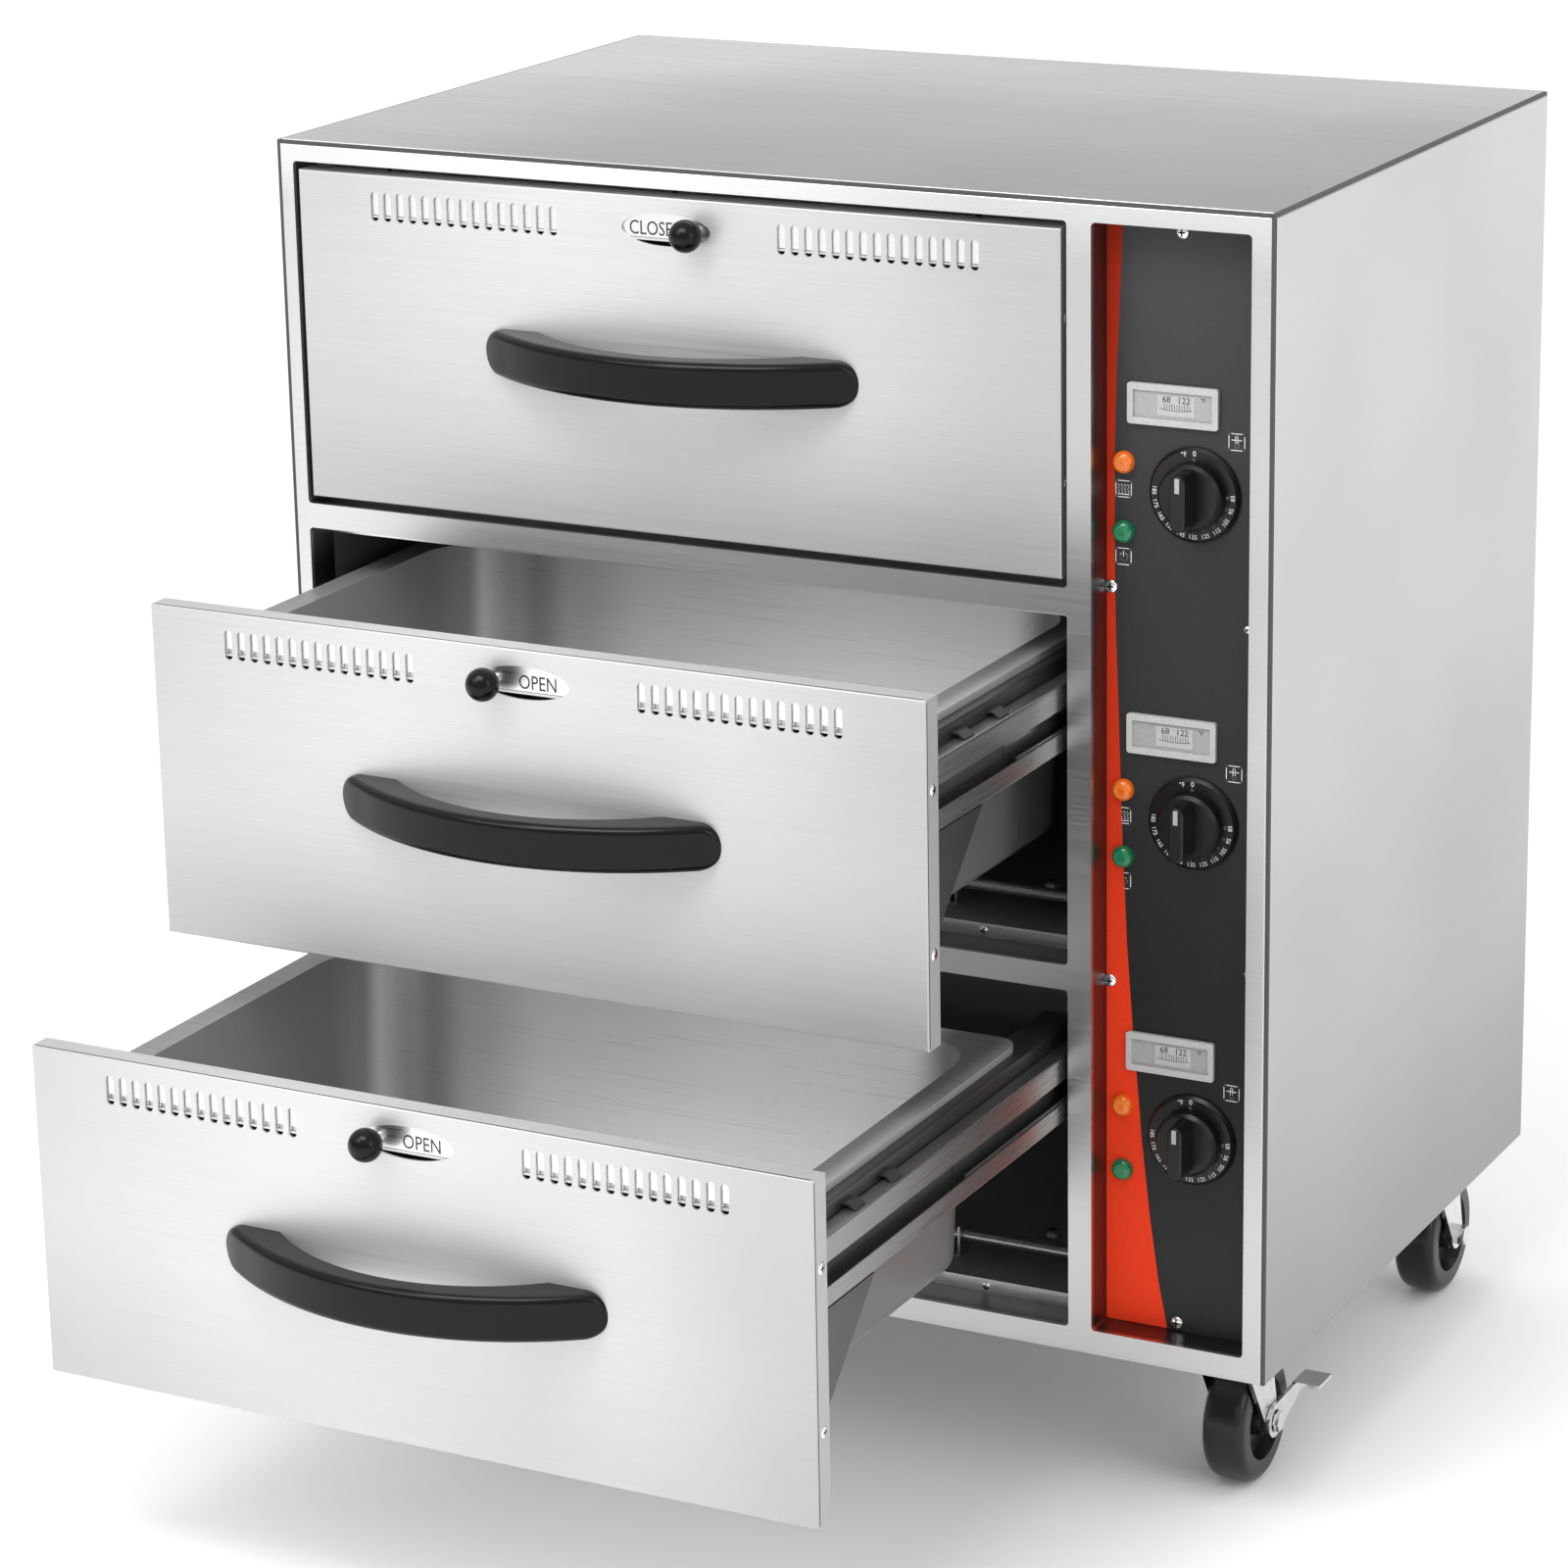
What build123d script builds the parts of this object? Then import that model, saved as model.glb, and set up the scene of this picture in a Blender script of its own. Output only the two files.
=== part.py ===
from build123d import *
from math import hypot
import os

# Free-standing food warmer: a stainless cabinet on four casters, with three
# drawers that each carry a full-size pan, and a control bay on the right.
#
# Millimetres, +Z up, the drawers open towards -Y. The origin is on the floor,
# under the middle of the object as it stands here with two drawers drawn out.

# ---------------------------------------------------------------- sizes
# Sheet metal
sheet = 1.5            # panels, frames and brackets
liner_sheet = 1.2      # cavity liners and slides
bend = 2.0             # outside radius of a fold

# Cabinet front, from the left edge to the right edge
left_stile = 13.0
opening_width = 581.0
mullion = 17.0
bay_width = 110.0
right_stile = 16.0
# and from the bottom edge to the top edge
bottom_rail = 17.5
opening_height = 241.0
middle_rail = 17.5
top_rail = 14.5

depth = 510.0
caster_height = 115.0  # floor to the cabinet's underside
seam = 3.0             # dark joint strip along the cabinet's front and top edges
seam_inset = 0.6       # how far the strip lies below the steel
return_depth = 14.0    # folded edges of the shell
reveal = 30.0          # depth of the frame around a drawer opening
panel_inset = 25.0     # depth of the control panel behind the front
opening_radius = 3.0
divider_fold = 5.0
batt_gap = 0.3

# Cord gland in the back panel, low behind the control bay
gland_bore = 22.0
gland_flange = 34.0
gland_rim = 3.0        # how far it stands out of the back
gland_cord = 9.0
gland_from_side = 60.0
gland_from_floor = 160.0

# Heated cavities
cavity_lip = 10.0      # liner flange seen above and below a cavity
cavity_end = 468.0     # inside of the liner's back wall, from the front

# Drawers: how far each one stands open
open_top = 0.0
open_middle = 202.0
open_bottom = 363.0

side_gap = 4.0         # beside a drawer front in its opening
front_gap = 5.5        # above and below it
front_thickness = 17.0
front_corner = 1.2     # rounding of the drawer front's edges
skin_clearance = 0.3

# Vents of a drawer front
vent_count = 15        # slots in each of the two groups
vent_pitch = 10.0
vent_width = 6.0
vent_height = 20.0
vent_below_top = 21.7
vent_first = 86.0      # first slot from the middle of the front
window_length = 67.0
window_height = 22.0
damper_thickness = 1.2
damper_above = 12.5    # damper's upper edge above the slots' centre line
damper_below = 6.0     # and its lower edge below it
damper_end = 12.0      # damper beyond the last slot when it is centred
damper_travel = 45.0
damper_gap = 0.4
notch_width = 3.8
notch_height = 3.0
keeper_lip = 3.0
air_window_height = 12.0
knob_diameter = 22.0
knob_stem = 6.0
knob_reach = 25.0

# Handle
handle_length = 283.0
handle_height = 31.0
handle_reach = 52.0
handle_grip = 15.0     # thickness at the middle
handle_foot = 42.0     # length of each foot against the front
handle_below_top = 114.0
handle_round = 5.0
handle_tip = 0.5       # trimmed off each pointed end

# Pan, a full-size one
pan_length = 530.0
pan_width = 325.0
pan_depth = 150.0
pan_rim = 18.0
pan_sheet = 1.0
pan_rim_drop = 5.0     # rolled edge
pan_corner = 46.0      # upright corners of the well
pan_rim_corner = 16.0
pan_draft = 7.0        # on each side, from rim to bottom
pan_bottom_round = 12.0
pan_below_top = 27.0
pan_behind_front = 2.0

# Telescopic slides of three members: drawer channel, middle and fixed member
slide_height = 47.0
slide_width = 13.0     # of the drawer channel
slide_length = 400.0
slide_below_top = 42.5
slide_gap = 0.4        # between the members
upper_lip = 16.5
lower_lip = 14.0
fixed_crown = 10.0     # inside height of the fixed member's crown
fixed_from_front = 41.0
middle_lead = 6.0      # middle member ahead of the fixed one, drawer closed

# Drawer frame
rail_shelf = 24.5      # ledge under the pan's rim
shelf_fold = 18.0
gusset_back = 64.0
gusset_drop = 63.5
gusset_flange = 12.0
step_down = 19.0       # stepped cross member behind the pan
step_back = 30.0
step_fold = 23.0
step_lip = 26.0
tab_first = 45.0       # spring tabs over the drawer channel, from the drawer's front
tab_pitch = 52.0
tab_length = 14.0
tab_reach = 9.5
tab_hump = 3.0

# Nylon glide buttons beside the drawers
glide_diameter = 18.0
glide_height = 2.6
glide_from_front = 17.0
glide_below_top = 58.0

# Control bay
row_pitch = 221.0
dial_row = 157.0       # lowest dial, above the cabinet's underside
dial_from_left = 62.5  # from the bay's left edge
lamp_from_left = 12.5
heat_lamp_above = 17.0
power_lamp_below = 29.0
lamp_diameter = 15.0
lamp_body = 12.0
lamp_height = 6.0
lamp_depth = 14.0
lamp_round = 4.5
thermometer_above = 57.0
thermometer_from_left = 47.0
thermometer_width = 63.0
thermometer_height = 27.0
bezel_depth = 3.0
window_width = 55.0
window_depth = 1.8
gauge_window_height = 18.0
gauge_body = 52.0
gauge_hole = 19.0
gauge_depth = 22.0
bay_fit = 0.2          # clearance of a body in its panel hole
skirt_diameter = 63.0
skirt_thickness = 4.0
skirt_bevel = 2.0
dial_diameter = 44.0
dial_base = 9.0
dial_grip = 13.0
dial_height = 27.0
dial_gap = 0.4
shaft_diameter = 6.0
shaft_clearance = 0.1
shaft_length = 20.0
bushing_diameter = 9.5
thermostat_size = 38.0
thermostat_depth = 30.0

# Heating elements
element_diameter = 8.0
element_above_floor = 14.0
element_front = 66.0   # front leg, from the cabinet's front
element_back = 400.0
element_margin = 60.0
element_bend = 40.0
foot_spread = 180.0
foot_width = 16.0
foot_sheet = 1.5

# Casters
wheel_diameter = 89.0
wheel_width = 31.0
wheel_shoulder = 7.0
hub_recess = 9.0
hub_diameter = 58.0
boss_diameter = 22.0
wheel_trail = 28.0
caster_from_side = 53.5
caster_from_end = 70.0
plate_length = 90.0
plate_width = 66.0
plate_thickness = 3.0
raceway_diameter = 48.0
raceway_height = 5.0
kingpin_diameter = 12.0
kingpin_head = 20.0
kingpin_head_height = 2.5
axle_diameter = 8.0
axle_clearance = 0.1
fork_gap = 1.5         # beside the wheel
fork_sheet = 3.0
fork_top = 54.0
fork_end = 22.0
nut_width = 13.0
nut_height = 7.0
pedal_sheet = 2.5
pedal_gap = 0.4
pedal_arm = 60.0       # axle to the tread of the pedal
pedal_width = 24.0
pedal_tread = 20.0
pedal_collar = 24.0

# ---------------------------------------------------------------- worked out
width = left_stile + opening_width + mullion + bay_width + right_stile
height = bottom_rail + 3 * opening_height + 2 * middle_rail + top_rail
half = width / 2
bottom = caster_height
top = bottom + height
reach = open_bottom + handle_reach
front = (reach - gland_rim - depth) / 2   # the cabinet's front plane
back = front + depth
opening_half = opening_width / 2
opening_pitch = opening_height + middle_rail
drawer_x = left_stile + opening_half - half
bay_left = half - right_stile - bay_width
bay_height = 3 * opening_height + 2 * middle_rail
front_half = opening_half - side_gap
front_height = opening_height - 2 * front_gap
damper_y = sheet + damper_gap        # damper's face behind the drawer's front plane
slide_x = front_half                 # outer face of the drawer channel, from the drawer's middle
channel_x = slide_x - slide_width    # its inner face, against the drawer frame


# ---------------------------------------------------------------- helpers
def facing(y):
    """Plane parallel to the front: local x runs right, local y up."""
    return Plane(origin=(0, y, 0), x_dir=(1, 0, 0), z_dir=(0, -1, 0))


def sideways(x):
    """Plane parallel to the sides: local x runs back, local y up."""
    return Plane(origin=(x, 0, 0), x_dir=(0, 1, 0), z_dir=(1, 0, 0))


def block(x, y, z, mode=Mode.ADD):
    """A box between two limits on each axis."""
    with Locations(((x[0] + x[1]) / 2, (y[0] + y[1]) / 2, (z[0] + z[1]) / 2)):
        Box(abs(x[1] - x[0]), abs(y[1] - y[0]), abs(z[1] - z[0]), mode=mode)


def rod(x, y, z, diameter, mode=Mode.ADD):
    """A round bar along Y between two depths, through a point of the front view."""
    with Locations((x, (y[0] + y[1]) / 2, z)):
        Cylinder(diameter / 2, abs(y[1] - y[0]), rotation=(90, 0, 0), mode=mode)


def cross_rod(x, y, z, diameter, mode=Mode.ADD):
    """A round bar along X."""
    with Locations(((x[0] + x[1]) / 2, y, z)):
        Cylinder(diameter / 2, abs(x[1] - x[0]), rotation=(0, 90, 0), mode=mode)


def folded(points, thickness, radius=bend):
    """Section of a folded sheet: a line with round bends, thickened to its left."""
    with BuildSketch() as section:
        with BuildLine():
            FilletPolyline(*points, radius=radius)
            offset(amount=thickness, side=Side.LEFT)
        make_face()
    return section.sketch


def mitred(points, thickness):
    """The same with square bends, for members that stay out of sight."""
    with BuildSketch() as section:
        with BuildLine():
            Polyline(*points)
            offset(amount=thickness, side=Side.LEFT, kind=Kind.INTERSECTION)
        make_face()
    return section.sketch


def save(name, built):
    """Label a finished piece and write it."""
    built.part.label = name
    export_step(built.part, f"parts/{name}.step")


def opening_floor(row):
    """Lower edge of a drawer opening; row 0 is the lowest."""
    return bottom + bottom_rail + row * opening_pitch


os.makedirs("parts", exist_ok=True)
places = ("bottom", "middle", "top")

# ---------------------------------------------------------------- shell
edge = half - seam                   # outer edge of the face frame
crown = top - seam                   # upper edge of the face frame and the sides
inner = half - sheet                 # inner face of a side
fold_y = front + return_depth
gland_x = half - gland_from_side

with BuildPart() as top_panel:
    block((-edge, edge), (front + seam, back), (top - sheet, top))
    for x in (-edge, edge - sheet):
        block((x, x + sheet), (fold_y, back - sheet), (top - return_depth, top - sheet))
    fillet(top_panel.edges().group_by(Axis.Z)[-1], sheet * 0.6)
save("top_panel", top_panel)

for side, name in ((-1, "side_panel_left"), (1, "side_panel_right")):
    with BuildPart() as side_panel:
        block(sorted((side * half, side * inner)), (front + seam, back), (bottom, crown))
        outer_face = side_panel.faces().sort_by(Axis.X)[0 if side < 0 else -1]
        fillet(outer_face.edges(), sheet * 0.6)
    save(name, side_panel)

with BuildPart() as back_panel:
    block((-inner, inner), (back - sheet, back), (bottom, top - sheet))
    for x in (-inner, inner - sheet):
        block((x, x + sheet), (back - return_depth, back - sheet),
              (bottom + return_depth, top - return_depth))
    rod(gland_x, (back - 2 * sheet, back + sheet), gland_from_floor, gland_bore + bay_fit, Mode.SUBTRACT)
save("back_panel", back_panel)

with BuildPart() as cord_gland:
    rod(gland_x, (back - return_depth, back), gland_from_floor, gland_bore)
    rod(gland_x, (back, back + gland_rim), gland_from_floor, gland_flange)
    fillet(cord_gland.edges().group_by(Axis.Y)[-1], gland_rim / 2)
    rod(gland_x, (back - depth / 2, back + depth / 2), gland_from_floor, gland_cord, Mode.SUBTRACT)
save("cord_gland", cord_gland)

with BuildPart() as base_panel:
    block((-inner, inner), (fold_y, back - sheet), (bottom, bottom + sheet))
    for x in (-inner, inner - sheet):
        block((x, x + sheet), (fold_y, back - sheet), (bottom, bottom + return_depth))
    block((-inner, inner), (back - 2 * sheet, back - sheet), (bottom, bottom + return_depth))
save("base_panel", base_panel)

frame_middle = (bottom + crown) / 2
openings = [(drawer_x, opening_floor(row) + opening_height / 2, opening_width, opening_height, reveal)
            for row in range(3)]
openings.append((bay_left + bay_width / 2, bottom + bottom_rail + bay_height / 2,
                 bay_width, bay_height, panel_inset))
with BuildPart() as face_frame:
    with BuildSketch(facing(front)):
        with Locations((0, frame_middle)):
            Rectangle(2 * edge, crown - bottom)
    extrude(amount=-return_depth)
    with BuildSketch(facing(front + sheet)):
        with Locations((0, frame_middle)):
            Rectangle(2 * (edge - sheet), crown - bottom - 2 * sheet)
    extrude(amount=-return_depth, mode=Mode.SUBTRACT)
    fillet(face_frame.edges().group_by(Axis.Y)[0], sheet * 0.6)
    for x, z, wide, high, deep in openings:
        with BuildSketch(facing(front + sheet / 2)):
            with Locations((x, z)):
                RectangleRounded(wide + 2 * sheet, high + 2 * sheet, opening_radius + sheet)
        extrude(amount=sheet / 2 - deep)
    for x, z, wide, high, deep in openings:
        with BuildSketch(facing(front - sheet)):
            with Locations((x, z)):
                RectangleRounded(wide, high, opening_radius)
        extrude(amount=-deep - 2 * sheet, mode=Mode.SUBTRACT)
save("face_frame", face_frame)

# The dark strip lies in the joint between the front, the top and the sides
strip = seam - seam_inset            # width of the strip that shows
tongue = seam - sheet                # thickness of its tongue between the sheets
with BuildPart() as corner_seals:
    for side in (-1, 1):
        corner_x = sorted((side * edge, side * (edge + strip)))
        tongue_x = sorted((side * edge, side * (edge + tongue)))
        block(corner_x, (front + seam_inset, front + seam), (bottom, top - seam_inset))
        block(tongue_x, (front + seam, fold_y), (bottom, crown))
        block(corner_x, (front + seam_inset, back), (crown, top - seam_inset))
        block(tongue_x, (fold_y, back - sheet), (top - return_depth, crown))
    block((-edge, edge), (front + seam_inset, front + seam), (crown, top - seam_inset))
    block((-edge, edge), (front + seam, fold_y), (crown, crown + tongue))
save("corner_seals", corner_seals)

# ---------------------------------------------------------------- inside the cabinet
panel_y = front + panel_inset
with BuildPart() as bay_divider:
    wall_z = (bottom + sheet, top - sheet)
    block((bay_left - sheet, bay_left), (panel_y + sheet, back - 2 * sheet), wall_z)
    block((bay_left - sheet, bay_left + divider_fold), (panel_y + sheet, panel_y + 2 * sheet),
          (bottom + bottom_rail, bottom + bottom_rail + bay_height))
save("bay_divider", bay_divider)

liner_y = front + reveal
liner_back = front + cavity_end
wall = opening_half + liner_sheet
for row, place in enumerate(places):
    floor = opening_floor(row) + cavity_lip
    roof = opening_floor(row) + opening_height - cavity_lip
    with BuildPart() as cavity_liner:
        block((drawer_x - wall, drawer_x + wall), (liner_y, liner_back + liner_sheet),
              (floor - liner_sheet, roof + liner_sheet))
        block((drawer_x - wall, drawer_x + wall), (liner_y, liner_y + liner_sheet),
              (floor - cavity_lip - sheet, roof + cavity_lip + sheet))
        block((drawer_x - opening_half, drawer_x + opening_half), (liner_y, liner_back), (floor, roof),
              mode=Mode.SUBTRACT)
    save(f"cavity_liner_{place}", cavity_liner)

batt_y = (liner_y + liner_sheet + batt_gap, liner_back)
batt_z = (bottom + sheet, top - return_depth - batt_gap)
with BuildPart() as insulation_batts:
    block((-inner + sheet + batt_gap, drawer_x - wall - batt_gap), batt_y, batt_z)
    block((drawer_x + wall + batt_gap, bay_left - sheet - batt_gap), batt_y, batt_z)
    block((drawer_x - wall, drawer_x + wall),
          (liner_back + liner_sheet + batt_gap, back - 2 * sheet - batt_gap), batt_z)
save("insulation_batts", insulation_batts)

# A hairpin of sheathed element lies low in each cavity on upright feet
element_right = drawer_x + opening_half
element_left = drawer_x - opening_half + element_margin


def element_foot(x, y, floor, tube_z):
    """A bent foot that holds a leg of the tube in its hole."""
    with BuildPart(mode=Mode.PRIVATE) as foot:
        block((x, x + foot_sheet), (y - foot_width / 2, y + foot_width / 2),
              (floor, tube_z + element_diameter))
        block((x - foot_width, x + foot_sheet), (y - foot_width / 2, y + foot_width / 2),
              (floor, floor + foot_sheet))
        cross_rod((x - sheet, x + 2 * sheet), y, tube_z, element_diameter + 2 * shaft_clearance,
                  Mode.SUBTRACT)
    return foot.part


def glide_button(seat, side, z):
    """A round button on the side of an opening, chamfered towards the drawer."""
    with BuildPart(mode=Mode.PRIVATE) as button:
        cross_rod((seat - side * glide_height, seat), front + glide_from_front, z, glide_diameter)
        rim = button.edges().filter_by(GeomType.CIRCLE).sort_by(Axis.X)[0 if side > 0 else -1]
        chamfer(rim, glide_height / 2)
    return button.part


with BuildPart() as heating_elements:
    for row in range(3):
        floor = opening_floor(row) + cavity_lip
        tube_z = floor + element_above_floor
        legs = (front + element_front, front + element_back)
        with BuildLine(mode=Mode.PRIVATE) as route:
            FilletPolyline((element_right, legs[0], tube_z), (element_left, legs[0], tube_z),
                           (element_left, legs[1], tube_z), (element_right, legs[1], tube_z),
                           radius=element_bend)
        with BuildSketch(Plane(origin=route.line @ 0, z_dir=route.line % 0)):
            Circle(element_diameter / 2)
        sweep(path=route.line)
    for row in range(3):
        floor = opening_floor(row) + cavity_lip
        tube_z = floor + element_above_floor
        for x in (drawer_x - foot_spread, drawer_x + foot_spread):
            for y in (front + element_front, front + element_back):
                add(element_foot(x, y, floor, tube_z))
save("heating_elements", heating_elements)

with BuildPart() as glide_buttons:
    for row in range(3):
        glide_z = opening_floor(row) + opening_height - front_gap - glide_below_top
        for side in (-1, 1):
            seat = drawer_x + side * opening_half
            add(glide_button(seat, side, glide_z))
save("glide_buttons", glide_buttons)

# ---------------------------------------------------------------- control bay
rows = [bottom + dial_row + row * row_pitch for row in range(3)]
dial_x = bay_left + dial_from_left
lamp_x = bay_left + lamp_from_left
gauge_x = bay_left + thermometer_from_left
bay_floor = bottom + bottom_rail

with BuildPart() as control_panel:
    block((bay_left - sheet, bay_left + bay_width + sheet), (panel_y, panel_y + sheet),
          (bay_floor - sheet, bay_floor + bay_height + sheet))
    for z in rows:
        through = (panel_y - sheet, panel_y + 2 * sheet)
        rod(dial_x, through, z, bushing_diameter + bay_fit, Mode.SUBTRACT)
        rod(lamp_x, through, z + heat_lamp_above, lamp_body + bay_fit, Mode.SUBTRACT)
        rod(lamp_x, through, z - power_lamp_below, lamp_body + bay_fit, Mode.SUBTRACT)
        gauge_z = z + thermometer_above
        block((gauge_x - gauge_body / 2, gauge_x + gauge_body / 2), through,
              (gauge_z - gauge_hole / 2, gauge_z + gauge_hole / 2), mode=Mode.SUBTRACT)
save("control_panel", control_panel)

with BuildPart() as thermometers:
    for z in rows:
        gauge_z = z + thermometer_above
        with BuildSketch(facing(panel_y)):
            with Locations((gauge_x, gauge_z)):
                RectangleRounded(thermometer_width, thermometer_height, 2)
                Rectangle(window_width, gauge_window_height, mode=Mode.SUBTRACT)
        extrude(amount=bezel_depth)
        block((gauge_x - gauge_body / 2 + bay_fit, gauge_x + gauge_body / 2 - bay_fit),
              (panel_y - bezel_depth + window_depth, panel_y + gauge_depth),
              (gauge_z - gauge_hole / 2 + bay_fit, gauge_z + gauge_hole / 2 - bay_fit))
        block((gauge_x - window_width / 2, gauge_x + window_width / 2),
              (panel_y - bezel_depth + window_depth, panel_y),
              (gauge_z - gauge_window_height / 2, gauge_z + gauge_window_height / 2))
save("thermometers", thermometers)

for above, name in ((heat_lamp_above, "heat_lamps"), (-power_lamp_below, "power_lamps")):
    with BuildPart() as lamps:
        for z in rows:
            rod(lamp_x, (panel_y - lamp_height, panel_y), z + above, lamp_diameter)
        fillet(lamps.edges().filter_by(GeomType.CIRCLE).group_by(Axis.Y)[0], lamp_round)
        for z in rows:
            rod(lamp_x, (panel_y, panel_y + lamp_depth), z + above, lamp_body)
    save(name, lamps)

skirt_face = panel_y - skirt_thickness
with BuildPart() as dial_plates:
    for z in rows:
        rod(dial_x, (skirt_face, panel_y), z, skirt_diameter)
    chamfer(dial_plates.edges().filter_by(GeomType.CIRCLE).group_by(Axis.Y)[0], skirt_bevel)
    for z in rows:
        rod(dial_x, (skirt_face - sheet, panel_y + sheet), z, bushing_diameter + bay_fit, Mode.SUBTRACT)
save("dial_plates", dial_plates)

with BuildPart() as thermostats:
    for z in rows:
        with BuildSketch(facing(panel_y + sheet)):
            with Locations((dial_x, z)):
                RectangleRounded(thermostat_size, thermostat_size, bend)
        extrude(amount=-thermostat_depth)
        rod(dial_x, (skirt_face, panel_y + sheet), z, bushing_diameter)
        rod(dial_x, (skirt_face - sheet, panel_y + shaft_length), z, shaft_diameter + 2 * shaft_clearance,
            Mode.SUBTRACT)
save("thermostats", thermostats)

for row, place in enumerate(places):
    z = rows[row]
    dial_foot = skirt_face - dial_gap
    with BuildPart() as dial:
        rod(dial_x, (dial_foot - dial_base, dial_foot), z, dial_diameter)
        chamfer(dial.edges().filter_by(GeomType.CIRCLE).group_by(Axis.Y)[0], dial_base / 4)
        with BuildSketch(facing(dial_foot - dial_base / 2)):
            with Locations((dial_x, z)):
                SlotOverall(dial_diameter - dial_base / 2, dial_grip, rotation=90)
        extrude(amount=dial_height - dial_base / 2, taper=3)
        fillet(dial.edges().group_by(Axis.Y)[0], 1.5)
        rod(dial_x, (dial_foot, panel_y + shaft_length - dial_gap), z, shaft_diameter)
    save(f"dial_{place}", dial)

# ---------------------------------------------------------------- slides
# Sections are drawn for the right side, x from the drawer's middle and z from the slide's middle
slide_half = slide_height / 2
mouth = slide_half - upper_lip - (slide_height - upper_lip - lower_lip) / 2
nest = liner_sheet + slide_gap
channel_section = [(slide_x, slide_half - upper_lip), (slide_x, slide_half), (channel_x, slide_half),
                   (channel_x, -slide_half), (slide_x, -slide_half), (slide_x, lower_lip - slide_half)]
middle_half = slide_half - nest
middle_gap = fixed_crown / 2 + liner_sheet + slide_gap
middle_section = [(slide_x - nest, mouth + middle_gap), (slide_x - nest, middle_half),
                  (channel_x + nest, middle_half), (channel_x + nest, -middle_half),
                  (slide_x - nest, -middle_half), (slide_x - nest, mouth - middle_gap)]
fixed_half = middle_half - nest
crown_x = opening_half - liner_sheet
crown_half = fixed_crown / 2
fixed_section = [(slide_x - 2 * nest, fixed_half), (channel_x + 2 * nest, fixed_half),
                 (channel_x + 2 * nest, mouth + crown_half), (crown_x, mouth + crown_half),
                 (crown_x, mouth - crown_half), (channel_x + 2 * nest, mouth - crown_half),
                 (channel_x + 2 * nest, -fixed_half), (slide_x - 2 * nest, -fixed_half)]


def slide_pair(section, start, z):
    """Two mirrored members, right and left of the drawer."""
    with BuildPart() as pair:
        with BuildSketch(facing(start)):
            with Locations((drawer_x, z)):
                add(section)
        extrude(amount=-slide_length)
        mirror(about=Plane.YZ.offset(drawer_x))
    return pair


stands_open = (open_bottom, open_middle, open_top)
for row, place in enumerate(places):
    front_top = opening_floor(row) + opening_height - front_gap
    slide_z = front_top - slide_below_top - slide_half
    drawn = front - stands_open[row]
    save(f"slide_fixed_{place}",
         slide_pair(mitred(fixed_section, liner_sheet), front + fixed_from_front, slide_z))
    save(f"slide_middle_{place}",
         slide_pair(mitred(middle_section, liner_sheet),
                    front + fixed_from_front - middle_lead - stands_open[row] / 2, slide_z))
    save(f"drawer_channel_{place}",
         slide_pair(folded(channel_section, liner_sheet), drawn + front_thickness, slide_z))


# ---------------------------------------------------------------- drawers
def vent_grid():
    """The middles of all vent slots of a drawer front, measured from its middle."""
    steps = [vent_first + number * vent_pitch for number in range(vent_count)]
    return [-step for step in reversed(steps)] + steps


vent_last = vent_grid()[-1]
knob_shift = {"bottom": -damper_travel / 2, "middle": -damper_travel / 2, "top": damper_travel / 2}

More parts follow.
